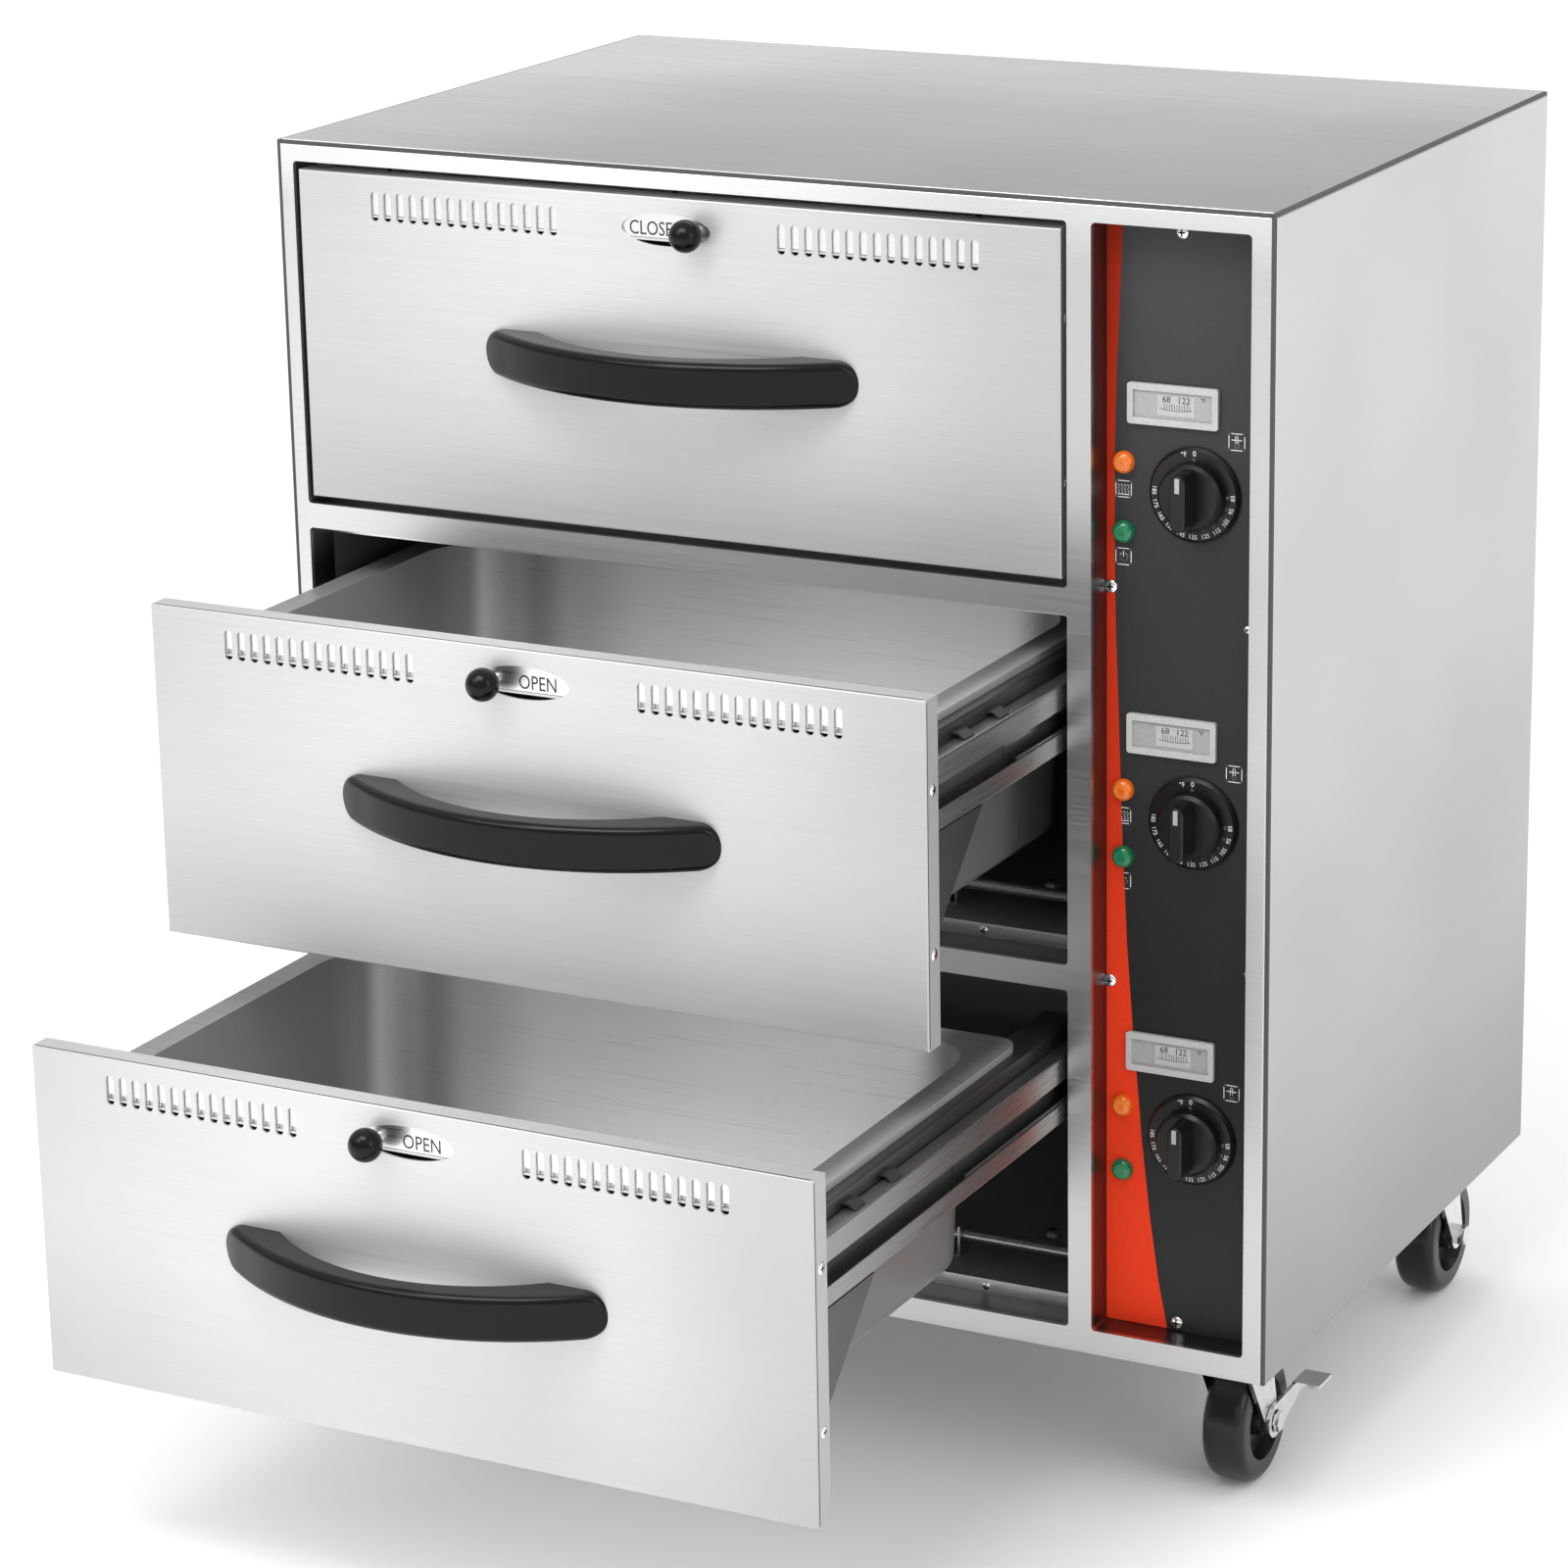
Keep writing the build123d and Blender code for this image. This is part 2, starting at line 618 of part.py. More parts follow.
for row, place in enumerate(places):
    face_y = front - stands_open[row]          # front face of this drawer
    rear_y = face_y + front_thickness
    face_top = opening_floor(row) + opening_height - front_gap
    face_bottom = face_top - front_height
    vent_z = face_top - vent_below_top

    with BuildPart() as drawer_front:
        block((drawer_x - front_half, drawer_x + front_half), (face_y, rear_y), (face_bottom, face_top))
        fillet(drawer_front.faces().sort_by(Axis.Y)[0].edges(), front_corner)
        block((drawer_x - front_half + sheet, drawer_x + front_half - sheet), (face_y + sheet, rear_y),
              (face_bottom + sheet, face_top - sheet), mode=Mode.SUBTRACT)
        with BuildSketch(facing(face_y - sheet)):
            with Locations(*[(drawer_x + x, vent_z) for x in vent_grid()]):
                SlotOverall(vent_height, vent_width, rotation=90)
            with Locations((drawer_x, vent_z)):
                Ellipse(window_length / 2, window_height / 2)
        extrude(amount=-3 * sheet, mode=Mode.SUBTRACT)
        keeper_x = (drawer_x - front_half + 2 * sheet, drawer_x + front_half - 2 * sheet)
        keeper_back = damper_y + damper_thickness + damper_gap
        for ledge, lip in ((vent_z + damper_above + damper_gap, -keeper_lip),
                           (vent_z - damper_below - damper_gap, keeper_lip)):
            outward = -sheet if lip > 0 else sheet
            block(keeper_x, (face_y + sheet, face_y + keeper_back + sheet), sorted((ledge, ledge + outward)))
            block(keeper_x, (face_y + keeper_back, face_y + keeper_back + sheet), sorted((ledge, ledge + lip)))
    save(f"drawer_front_{place}", drawer_front)

    damper_half = vent_last + damper_end + damper_travel / 2 - vent_width
    damper_x = drawer_x + knob_shift[place]
    plate_y = face_y + damper_y
    with BuildPart() as vent_damper:
        block((damper_x - damper_half, damper_x + damper_half), (plate_y, plate_y + damper_thickness),
              (vent_z - damper_below, vent_z + damper_above))
        for x in vent_grid():
            notch_x = damper_x + x + damper_travel / 2
            block((notch_x - notch_width / 2, notch_x + notch_width / 2),
                  (plate_y - sheet, plate_y + 2 * sheet),
                  (vent_z - damper_below - sheet, vent_z - damper_below + notch_height), mode=Mode.SUBTRACT)
        ball_y = face_y - knob_reach + knob_diameter / 2
        rod(damper_x, (ball_y, plate_y), vent_z, knob_stem)
        with Locations((damper_x, ball_y, vent_z)):
            Sphere(knob_diameter / 2)
    save(f"vent_damper_{place}", vent_damper)

    handle_z = face_top - handle_below_top
    half_grip = handle_length / 2 + handle_tip
    foot = handle_foot + handle_tip
    with BuildPart() as handle:
        with BuildSketch(Plane.XY.offset(handle_z - handle_height / 2)):
            with BuildLine():
                ThreePointArc((drawer_x - half_grip, face_y), (drawer_x, face_y - handle_reach),
                              (drawer_x + half_grip, face_y))
                Line((drawer_x + half_grip, face_y), (drawer_x + half_grip - foot, face_y))
                ThreePointArc((drawer_x + half_grip - foot, face_y),
                              (drawer_x, face_y - handle_reach + handle_grip),
                              (drawer_x - half_grip + foot, face_y))
                Line((drawer_x - half_grip + foot, face_y), (drawer_x - half_grip, face_y))
            make_face()
        extrude(amount=handle_height)
        with BuildSketch(facing(face_y)):
            with Locations((drawer_x, handle_z)):
                RectangleRounded(handle_length, handle_height, handle_height / 2 - 0.5)
        extrude(amount=handle_reach + sheet, mode=Mode.INTERSECT)
        outer_arc = handle.faces().sort_by(Axis.Y)[0]
        fillet(outer_arc.edges(), handle_round)
    save(f"handle_{place}", handle)

    rim_z = face_top - pan_below_top
    well_length = pan_length - 2 * pan_rim
    well_width = pan_width - 2 * pan_rim
    pan_y = rear_y + pan_behind_front + pan_width / 2
    with BuildPart() as pan:
        with BuildSketch(Plane.XY.offset(rim_z)):
            with Locations((drawer_x, pan_y)):
                RectangleRounded(well_length, well_width, pan_corner)
        with BuildSketch(Plane.XY.offset(rim_z - pan_depth)):
            with Locations((drawer_x, pan_y)):
                RectangleRounded(well_length - 2 * pan_draft, well_width - 2 * pan_draft,
                                 pan_corner - pan_draft)
        loft()
        fillet(pan.faces().sort_by(Axis.Z)[0].edges(), pan_bottom_round)
        offset(amount=-pan_sheet, openings=pan.faces().sort_by(Axis.Z)[-1])
        with BuildSketch(Plane.XY.offset(rim_z)):
            with Locations((drawer_x, pan_y)):
                RectangleRounded(pan_length, pan_width, pan_rim_corner)
                RectangleRounded(well_length - pan_sheet, well_width - pan_sheet, pan_corner,
                                 mode=Mode.SUBTRACT)
        extrude(amount=-pan_sheet)
        with BuildSketch(Plane.XY.offset(rim_z)):
            with Locations((drawer_x, pan_y)):
                RectangleRounded(pan_length, pan_width, pan_rim_corner)
                RectangleRounded(pan_length - 2 * pan_sheet, pan_width - 2 * pan_sheet,
                                 pan_rim_corner - pan_sheet, mode=Mode.SUBTRACT)
        extrude(amount=-pan_rim_drop)
    save(f"pan_{place}", pan)

    shelf_z = rim_z - pan_rim_drop
    channel_bottom = face_top - slide_below_top - slide_height
    skin_half = front_half - sheet - skin_clearance
    pan_back = pan_y + pan_width / 2
    step_y = pan_back + 2 * sheet
    with BuildPart() as drawer_frame:
        # inner skin, which closes the back of the drawer front
        block((drawer_x - skin_half, drawer_x + skin_half), (rear_y - sheet, rear_y),
              (face_bottom + sheet + skin_clearance, face_top - sheet - skin_clearance))
        for x in (-1, 1):
            air_x = sorted((drawer_x + x * vent_first, drawer_x + x * vent_last))
            block(air_x, (rear_y - 2 * sheet, rear_y + sheet),
                  (vent_z - air_window_height / 2, vent_z + air_window_height / 2), mode=Mode.SUBTRACT)
        # ledge for the pan's front edge
        with BuildSketch(sideways(drawer_x - channel_x)):
            add(folded([(rear_y + shelf_fold, shelf_z), (rear_y, shelf_z), (rear_y, shelf_z - shelf_fold)],
                       sheet))
        extrude(amount=2 * channel_x)
        # stepped cross member behind the pan
        with BuildSketch(sideways(drawer_x - channel_x)):
            add(folded([(step_y + step_back - step_lip, shelf_z - step_down - step_fold),
                        (step_y + step_back, shelf_z - step_down - step_fold),
                        (step_y + step_back, shelf_z - step_down), (step_y, shelf_z - step_down),
                        (step_y, shelf_z), (pan_back - pan_rim + pan_behind_front, shelf_z)], sheet))
        extrude(amount=2 * channel_x)
        # side rails with a ledge under the rim, beside the channels
        with BuildSketch(facing(rear_y)):
            with Locations((drawer_x, 0)):
                add(folded([(channel_x, channel_bottom - sheet), (channel_x, shelf_z),
                            (channel_x - rail_shelf, shelf_z)], sheet))
        extrude(amount=-slide_length)
        # flanged gussets under the channels
        flange_z = (channel_bottom - sheet, channel_bottom)
        block((drawer_x + channel_x - sheet, drawer_x + slide_x), (rear_y, rear_y + gusset_back), flange_z)
        block((drawer_x + slide_x - gusset_flange, drawer_x + slide_x), (rear_y, rear_y + sheet),
              (channel_bottom - gusset_drop, channel_bottom))
        with BuildSketch(sideways(drawer_x + slide_x - sheet)):
            with BuildLine():
                Polyline((rear_y, channel_bottom), (rear_y + gusset_back, channel_bottom),
                         (rear_y, channel_bottom - gusset_drop), close=True)
            make_face()
        extrude(amount=sheet)
        # spring tabs over the channels
        for number in range(2):
            with BuildSketch(facing(rear_y + tab_first + number * tab_pitch)):
                with Locations((drawer_x, channel_bottom + slide_height)):
                    add(mitred([(channel_x - sheet / 2, tab_hump), (channel_x + tab_reach / 2, tab_hump),
                                (channel_x + tab_reach, 0)], liner_sheet))
            extrude(amount=-tab_length)
        mirror(about=Plane.YZ.offset(drawer_x))
    save(f"drawer_frame_{place}", drawer_frame)

# ---------------------------------------------------------------- casters
plate_z = bottom - plate_thickness
raceway_z = plate_z - raceway_height
fork_z = raceway_z - pedal_gap                 # top face of the fork
hub_z = wheel_diameter / 2
fork_x = wheel_width / 2 + fork_gap            # inner face of a fork leg
caster_spots = [(name, x, y) for name, x, y in (
    ("front_left", -half + caster_from_side, front + caster_from_end),
    ("front_right", half - caster_from_side, front + caster_from_end),
    ("rear_left", -half + caster_from_side, back - caster_from_end),
    ("rear_right", half - caster_from_side, back - caster_from_end))]

with BuildPart() as caster_plates:
    for name, x, y in caster_spots:
        with BuildSketch(Plane.XY.offset(bottom)):
            with Locations((x, y)):
                RectangleRounded(plate_length, plate_width, 4)
        extrude(amount=-plate_thickness)
        with Locations((x, y, plate_z - raceway_height / 2)):
            Cylinder(raceway_diameter / 2, raceway_height)
        with Locations((x, y, fork_z - fork_sheet / 2)):
            Cylinder(kingpin_diameter / 2, fork_sheet + 2 * pedal_gap)
        with Locations((x, y, fork_z - fork_sheet - pedal_gap - kingpin_head_height / 2)):
            Cylinder(kingpin_head / 2, kingpin_head_height)
save("caster_plates", caster_plates)

for name, x, y in caster_spots:
    axle_y = y + wheel_trail
    with BuildPart() as fork:
        with Locations((x, y, fork_z - fork_sheet / 2)):
            Cylinder(fork_top / 2, fork_sheet)
        with BuildSketch(sideways(x - fork_x - fork_sheet)) as leg:
            with BuildLine():
                Polyline((y - fork_top * 0.4, fork_z), (y + fork_top * 0.45, fork_z),
                         (axle_y + fork_end / 2, hub_z), (axle_y - fork_end / 2, hub_z), close=True)
            make_face()
            with Locations((axle_y, hub_z)):
                Circle(fork_end / 2)
        extrude(amount=2 * (fork_x + fork_sheet))
        block((x - fork_x, x + fork_x), (y - fork_top, axle_y + fork_top), (0, fork_z - fork_sheet),
              mode=Mode.SUBTRACT)
        bolt = fork_x + fork_sheet
        cross_rod((x - bolt, x + bolt), axle_y, hub_z, axle_diameter)
        for side in (-1, 1):
            with BuildSketch(sideways(x + side * bolt)):
                with Locations((axle_y, hub_z)):
                    RegularPolygon(nut_width / 2, 6, major_radius=False)
            extrude(amount=side * nut_height)
        with Locations((x, y, fork_z)):
            Cylinder(kingpin_diameter / 2 + shaft_clearance, 3 * fork_sheet, mode=Mode.SUBTRACT)
    save(f"caster_fork_{name}", fork)

    with BuildPart() as wheel:
        with BuildSketch(Plane(origin=(x, axle_y, hub_z), x_dir=(1, 0, 0), z_dir=(0, -1, 0))):
            with BuildLine():
                Polyline((-wheel_width / 2, axle_diameter / 2 + axle_clearance),
                         (-wheel_width / 2, boss_diameter / 2),
                         (-wheel_width / 2 + hub_recess, boss_diameter / 2 + 2),
                         (-wheel_width / 2 + hub_recess, hub_diameter / 2 - 3),
                         (-wheel_width / 2, hub_diameter / 2),
                         (-wheel_width / 2, wheel_diameter / 2 - wheel_shoulder))
                TangentArc((-wheel_width / 2, wheel_diameter / 2 - wheel_shoulder),
                           (-wheel_width / 2 + wheel_shoulder, wheel_diameter / 2), tangent=(0, 1))
                Polyline((-wheel_width / 2 + wheel_shoulder, wheel_diameter / 2),
                         (0, wheel_diameter / 2), (0, axle_diameter / 2 + axle_clearance),
                         (-wheel_width / 2, axle_diameter / 2 + axle_clearance))
            make_face()
            mirror(about=Plane.YZ)
        revolve(axis=Axis((x, axle_y, hub_z), (1, 0, 0)))
    save(f"caster_wheel_{name}", wheel)

# Side brakes on the front casters: an arm that turns on the axle nut, with a foot tread
for name, x, y in caster_spots[:2]:
    side = -1 if x < 0 else 1
    axle_y = y + wheel_trail
    arm_x = x + side * (fork_x + fork_sheet + pedal_gap)
    with BuildPart() as pedal:
        with BuildSketch(sideways(arm_x)):
            with Locations((axle_y, hub_z)):
                Circle(pedal_collar / 2)
            with BuildLine():
                Polyline((axle_y, hub_z + pedal_collar / 2),
                         (axle_y + pedal_arm, hub_z + pedal_collar / 2 + 2),
                         (axle_y + pedal_arm, hub_z + pedal_collar / 2 - 2),
                         (axle_y + pedal_collar / 3, hub_z - pedal_collar / 2 + 2), close=True)
            make_face()
        extrude(amount=side * pedal_sheet)
        block(sorted((arm_x, arm_x + side * pedal_tread)),
              (axle_y + pedal_arm - pedal_width, axle_y + pedal_arm),
              (hub_z + pedal_collar / 2 - 0.5, hub_z + pedal_collar / 2 + 2))
        cross_rod((arm_x - side, arm_x + 2 * side * pedal_sheet), axle_y, hub_z,
                  hypot(nut_width, nut_width / 1.7) + 1, Mode.SUBTRACT)
    save(f"brake_pedal_{name}", pedal)
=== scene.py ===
from math import cos, pi, radians, sin

import bmesh
import bpy
from mathutils import Matrix, Vector


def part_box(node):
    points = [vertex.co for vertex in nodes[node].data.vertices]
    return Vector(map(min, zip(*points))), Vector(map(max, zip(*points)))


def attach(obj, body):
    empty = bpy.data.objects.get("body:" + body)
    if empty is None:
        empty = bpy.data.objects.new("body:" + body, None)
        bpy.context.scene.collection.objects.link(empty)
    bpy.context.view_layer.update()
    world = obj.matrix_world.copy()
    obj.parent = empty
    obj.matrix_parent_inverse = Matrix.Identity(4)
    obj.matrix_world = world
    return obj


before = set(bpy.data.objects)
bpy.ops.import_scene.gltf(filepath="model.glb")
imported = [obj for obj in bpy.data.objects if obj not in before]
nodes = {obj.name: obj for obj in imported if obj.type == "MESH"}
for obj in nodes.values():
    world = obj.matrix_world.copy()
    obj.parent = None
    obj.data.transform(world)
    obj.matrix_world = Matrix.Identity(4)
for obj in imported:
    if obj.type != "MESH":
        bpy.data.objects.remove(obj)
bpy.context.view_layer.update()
MM = 0.001
PLACES = ("bottom", "middle", "top")
TO_FRONT, UP = (0, -1, 0), (0, 0, 1)


# ------------------------------------------------------------------ shader parts
def new_material(name):
    material = bpy.data.materials.new(name)
    material.use_nodes = True
    tree = material.node_tree
    return material, tree, tree.nodes["Principled BSDF"]


def mix(tree, blend, first, second):
    """Blends two colours in full by ADD or MULTIPLY; each is a socket or a tuple."""
    node = tree.nodes.new("ShaderNodeMix")
    node.data_type = "RGBA"
    node.blend_type = blend
    node.inputs["Factor"].default_value = 1.0
    for slot, source in ((6, first), (7, second)):
        if isinstance(source, tuple):
            node.inputs[slot].default_value = (*source, 1)
        else:
            tree.links.new(source, node.inputs[slot])
    return node.outputs[2]


def spread(tree, source, source_range, result_range=(0.0, 1.0)):
    """Maps the values of a socket from one range to another."""
    node = tree.nodes.new("ShaderNodeMapRange")
    node.inputs["From Min"].default_value, node.inputs["From Max"].default_value = source_range
    node.inputs["To Min"].default_value, node.inputs["To Max"].default_value = result_range
    tree.links.new(source, node.inputs["Value"])
    return node.outputs["Result"]


def noise(tree, vector, scale, detail):
    node = tree.nodes.new("ShaderNodeTexNoise")
    node.inputs["Scale"].default_value = scale
    node.inputs["Detail"].default_value = detail
    tree.links.new(vector, node.inputs["Vector"])
    return node.outputs["Fac"]


def relief(tree, shader, height, strength, distance):
    node = tree.nodes.new("ShaderNodeBump")
    node.inputs["Strength"].default_value = strength
    node.inputs["Distance"].default_value = distance
    tree.links.new(height, node.inputs["Height"])
    tree.links.new(node.outputs["Normal"], shader.inputs["Normal"])


def add_painted_light(tree, place, colour, painted_light):
    """Paints light and shade into a colour: multiplies it by slow changes along an axis, each given as (axis,
    [(millimetres, factor), ...]).

    A ramp holds half of each factor and is added to itself, so a factor may be over 1.
    """
    for axis, stops in painted_light:
        low, high = stops[0][0], stops[-1][0]
        split = tree.nodes.new("ShaderNodeSeparateXYZ")
        tree.links.new(place, split.inputs["Vector"])
        ramp = tree.nodes.new("ShaderNodeValToRGB")
        ramp.color_ramp.interpolation = "EASE"
        points = ramp.color_ramp.elements
        while len(points) < len(stops):
            points.new(0.5)
        for point, (where, factor) in zip(points, stops):
            point.position = (where - low) / (high - low)
        for point, (where, factor) in zip(points, stops):
            point.color = (factor / 2, factor / 2, factor / 2, 1)
        tree.links.new(spread(tree, split.outputs[axis], (low * MM, high * MM)), ramp.inputs["Fac"])
        half = ramp.outputs["Color"]
        colour = mix(tree, "MULTIPLY", colour, mix(tree, "ADD", half, half))
    return colour


def plain(name, colour, roughness=0.5, metallic=0.0, coat=0.0, specular=0.5, emission=0.0, bump=0.0,
          grain=400.0, painted_light=()):
    """A material of one colour that varies a little from grain to grain, with any painted light and shade it
    is given.
    """
    material, tree, shader = new_material(name)
    shader.inputs["Metallic"].default_value = metallic
    shader.inputs["Roughness"].default_value = roughness
    shader.inputs["Coat Weight"].default_value = coat
    shader.inputs["Coat Roughness"].default_value = 0.08
    shader.inputs["Specular IOR Level"].default_value = specular
    place = tree.nodes.new("ShaderNodeTexCoord").outputs["Object"]
    grains = noise(tree, place, grain, 3.0)
    shade = tree.nodes.new("ShaderNodeValToRGB")
    for stop, position, share in zip(shade.color_ramp.elements, (0.3, 0.7), (0.93, 1.07)):
        stop.position = position
        stop.color = (*[min(1, c * share) for c in colour], 1)
    tree.links.new(grains, shade.inputs["Fac"])
    tree.links.new(add_painted_light(tree, place, shade.outputs["Color"], painted_light), shader.inputs["Base Color"])
    if emission:
        shader.inputs["Emission Color"].default_value = (*colour, 1)
        shader.inputs["Emission Strength"].default_value = emission
    if bump:
        relief(tree, shader, grains, bump, 0.0004)
    return material


STREAK_LONG, STREAK_FINE = 6.0, 1500.0      # noise scale along the brushing, and across it
NOISE_MIDDLE = (0.25, 0.75)                 # where nearly all of a noise's values lie
CLOUD = 0.05


def brushed(name, grey, roughness, along, contrast=0.06, metallic=1.0, painted_light=()):
    """Brushed steel: fine streaks along one axis, a slow cloudy change over the sheet, and any painted light
    and shade.
    """
    material, tree, shader = new_material(name)
    shader.inputs["Metallic"].default_value = metallic
    place = tree.nodes.new("ShaderNodeTexCoord").outputs["Object"]
    stretch = tree.nodes.new("ShaderNodeMapping")
    stretch.inputs["Scale"].default_value = [STREAK_LONG if axis == along else STREAK_FINE for axis in "XYZ"]
    tree.links.new(place, stretch.inputs["Vector"])
    streak = noise(tree, stretch.outputs["Vector"], 1.0, 2.0)
    slow = noise(tree, place, 5.0, 1.0)
    both = tree.nodes.new("ShaderNodeMath")
    both.operation = "MULTIPLY"
    tree.links.new(spread(tree, streak, NOISE_MIDDLE, (1 - contrast, 1 + contrast)), both.inputs[0])
    tree.links.new(spread(tree, slow, NOISE_MIDDLE, (1 - CLOUD, 1 + CLOUD)), both.inputs[1])
    tint = mix(tree, "MULTIPLY", (grey, grey, grey), both.outputs["Value"])
    tree.links.new(add_painted_light(tree, place, tint, painted_light), shader.inputs["Base Color"])
    rough = spread(tree, streak, NOISE_MIDDLE, (roughness * 0.8, roughness * 1.2))
    tree.links.new(rough, shader.inputs["Roughness"])
    relief(tree, shader, streak, 0.06, 0.0002)
    return material


# ------------------------------------------------------------------ materials
FRONT_FOOT = {"bottom": 136, "middle": 395, "top": 653}     # height of each drawer front's lower edge, along which painted shade darkens the front
# Painted sheen across each drawer front: brightest left of its middle, darker towards both ends
FRONT_PAINTED_SHEEN = ("X", [(-350, 0.80), (-130, 0.98), (60, 0.86), (225, 0.70)])
# Painted light and shade on the face frame: lighter to the left and along the top rail, and painted shade on
# its returns behind the face
FRAME_PAINTED_LIGHT = [("X", [(-370, 1.12), (-120, 1.20), (240, 0.90), (370, 0.92)]),
               ("Z", [(115, 0.98), (400, 0.98), (650, 0.92), (860, 0.95), (905, 1.2)]),
               ("Y", [(-49.5, 1.0), (-46.5, 1.0), (-44, 0.3), (-20, 0.2)])]
# Painted reflection on the top: brighter towards the back and towards the left
TOP_PAINTED_REFLECTION = [("Y", [(-49, 0.95), (200, 1.12), (461, 1.48)]),
             ("X", [(-370, 1.35), (-100, 1.0), (370, 0.93)])]
# Painted shade on the sides and back: darker towards the bottom
SIDE_PAINTED_SHADE = [("Z", [(115, 0.50), (370, 0.68), (640, 0.84), (905, 0.95)])]
# Painted light and shade across the pans: a dark left wall, a bright band at its corner, a dark band beside
# that, and painted shade again at the right
PAN_PAINTED_LIGHT = [("X", [(-330, 0.26), (-296, 0.30), (-285, 0.75), (-262, 0.6), (-245, 0.42), (-215, 0.7),
                    (-150, 0.96), (0, 1.05), (125, 1.0), (160, 0.25), (185, 0.2), (205, 0.5)])]
# Painted light on the black panel: darkest low down, brightest at the top
PANEL_PAINTED_LIGHT = [("Z", [(118, 0.6), (330, 0.35), (600, 0.85), (908, 1.4)])]
# Painted shade on the red stripe: darker towards the top
RED_PAINTED_SHADE = [("Z", [(118, 1.1), (350, 1.0), (600, 0.75), (908, 0.42)])]

# One copy per drawer, so that each carries its painted shade along its own lower edge
painted_sheen_fronts = {
    place: brushed(f"steel_front_painted_sheen_{place}", 0.66, 0.42, "X", metallic=0.55,
                   painted_light=[FRONT_PAINTED_SHEEN, ("Z", [(foot, 0.92), (foot + 120, 1.03), (foot + 230, 1.03)])])
    for place, foot in FRONT_FOOT.items()}
steel_frame = brushed("steel_frame", 0.66, 0.34, "X", contrast=0.04, painted_light=FRAME_PAINTED_LIGHT)
steel_top = brushed("steel_top", 0.62, 0.30, "X", contrast=0.03, painted_light=TOP_PAINTED_REFLECTION)
steel_side = brushed("steel_side", 0.69, 0.36, "Y", contrast=0.03, painted_light=SIDE_PAINTED_SHADE)
steel_inner = brushed("steel_inner", 0.40, 0.38, "Y", metallic=0.8)
steel_slide = brushed("steel_slide", 0.34, 0.30, "Y", contrast=0.03, metallic=0.9)
# A dark sheet that paints the shade in the channels' mouths
web_painted_shade = brushed("web_painted_shade", 0.09, 0.4, "Y", contrast=0.03, metallic=0.3)
steel_pan = brushed("steel_pan", 0.93, 0.32, "X", contrast=0.03, metallic=0.35, painted_light=PAN_PAINTED_LIGHT)
# Nearly black: painted shade under the pans' rims, where the drawer frames sit
rail_painted_shade = brushed("rail_painted_shade", 0.10, 0.36, "Y", contrast=0.03, metallic=0.8)
# Darker than the other steel: painted shade inside the cavities
cavity_painted_shade = brushed("cavity_painted_shade", 0.24, 0.36, "X", metallic=0.6)
steel_bright = plain("steel_bright", (0.85, 0.85, 0.85), 0.22, 1.0)
steel_plate = brushed("steel_plate", 0.84, 0.3, "X", contrast=0.02)
chrome = plain("chrome", (0.80, 0.80, 0.80), 0.16, 1.0, bump=0.1, grain=120)
dark_strip = plain("dark_strip", (0.05, 0.05, 0.052), 0.5)
line_black = plain("line_black", (0.008, 0.008, 0.008), 0.6, specular=0.2)
black_gloss = plain("black_gloss", (0.002, 0.002, 0.002), 0.2, specular=0.24)
black_panel = plain("black_panel", (0.030, 0.030, 0.032), 0.5, specular=0.3, bump=0.25, grain=900,
                    painted_light=PANEL_PAINTED_LIGHT)
black_plastic = plain("black_plastic", (0.006, 0.006, 0.007), 0.3, specular=0.35)
rubber = plain("rubber", (0.008, 0.008, 0.009), 0.26, specular=0.4)
nylon = plain("nylon", (0.03, 0.03, 0.03), 0.4)
felt = plain("felt", (0.75, 0.7, 0.58), 0.95, bump=0.5)
red = plain("red", (0.76, 0.045, 0.012), 0.55, specular=0.1, bump=0.08, grain=900, painted_light=RED_PAINTED_SHADE)
white_ink = plain("white_ink", (0.72, 0.72, 0.72), 0.6)
dark_ink = plain("dark_ink", (0.02, 0.02, 0.02), 0.6)
amber = plain("amber", (0.72, 0.14, 0.008), 0.12, coat=0.5, emission=0.04)
amber_core = plain("amber_core", (0.95, 0.40, 0.08), 0.3, emission=0.1)
green = plain("green", (0.004, 0.15, 0.06), 0.12, coat=0.5, emission=0.04)
green_core = plain("green_core", (0.04, 0.45, 0.22), 0.3, emission=0.08)
bezel = plain("bezel", (0.46, 0.46, 0.45), 0.42)
gauge_field = plain("gauge_field", (0.34, 0.34, 0.33), 0.3, coat=0.3)
gauge_card = plain("gauge_card", (0.44, 0.44, 0.43), 0.5)


def paint(material, *names):
    for name in names:
        shown = nodes[name]
        if not shown.material_slots:
            shown.data.materials.append(material)
        for slot in shown.material_slots:
            slot.material = material


paint(steel_top, "top_panel")
paint(steel_side, "side_panel_left", "side_panel_right", "back_panel")
paint(steel_frame, "face_frame")
paint(steel_inner, "base_panel", "bay_divider")
paint(dark_strip, "corner_seals")
paint(felt, "insulation_batts")
paint(steel_slide, "heating_elements")
paint(nylon, "glide_buttons", "cord_gland", "thermostats")
paint(black_panel, "control_panel")
paint(bezel, "thermometers")
paint(amber, "heat_lamps")
paint(green, "power_lamps")
paint(black_plastic, "dial_plates")
paint(chrome, "caster_plates")
for place in PLACES:
    paint(cavity_painted_shade, f"cavity_liner_{place}")
    paint(steel_slide, f"slide_fixed_{place}", f"slide_middle_{place}", f"drawer_channel_{place}")
    paint(painted_sheen_fronts[place], f"drawer_front_{place}")
    paint(rail_painted_shade, f"drawer_frame_{place}")
    paint(steel_pan, f"pan_{place}")
    paint(steel_plate, f"vent_damper_{place}")
    paint(black_gloss, f"handle_{place}")
    paint(black_plastic, f"dial_{place}")
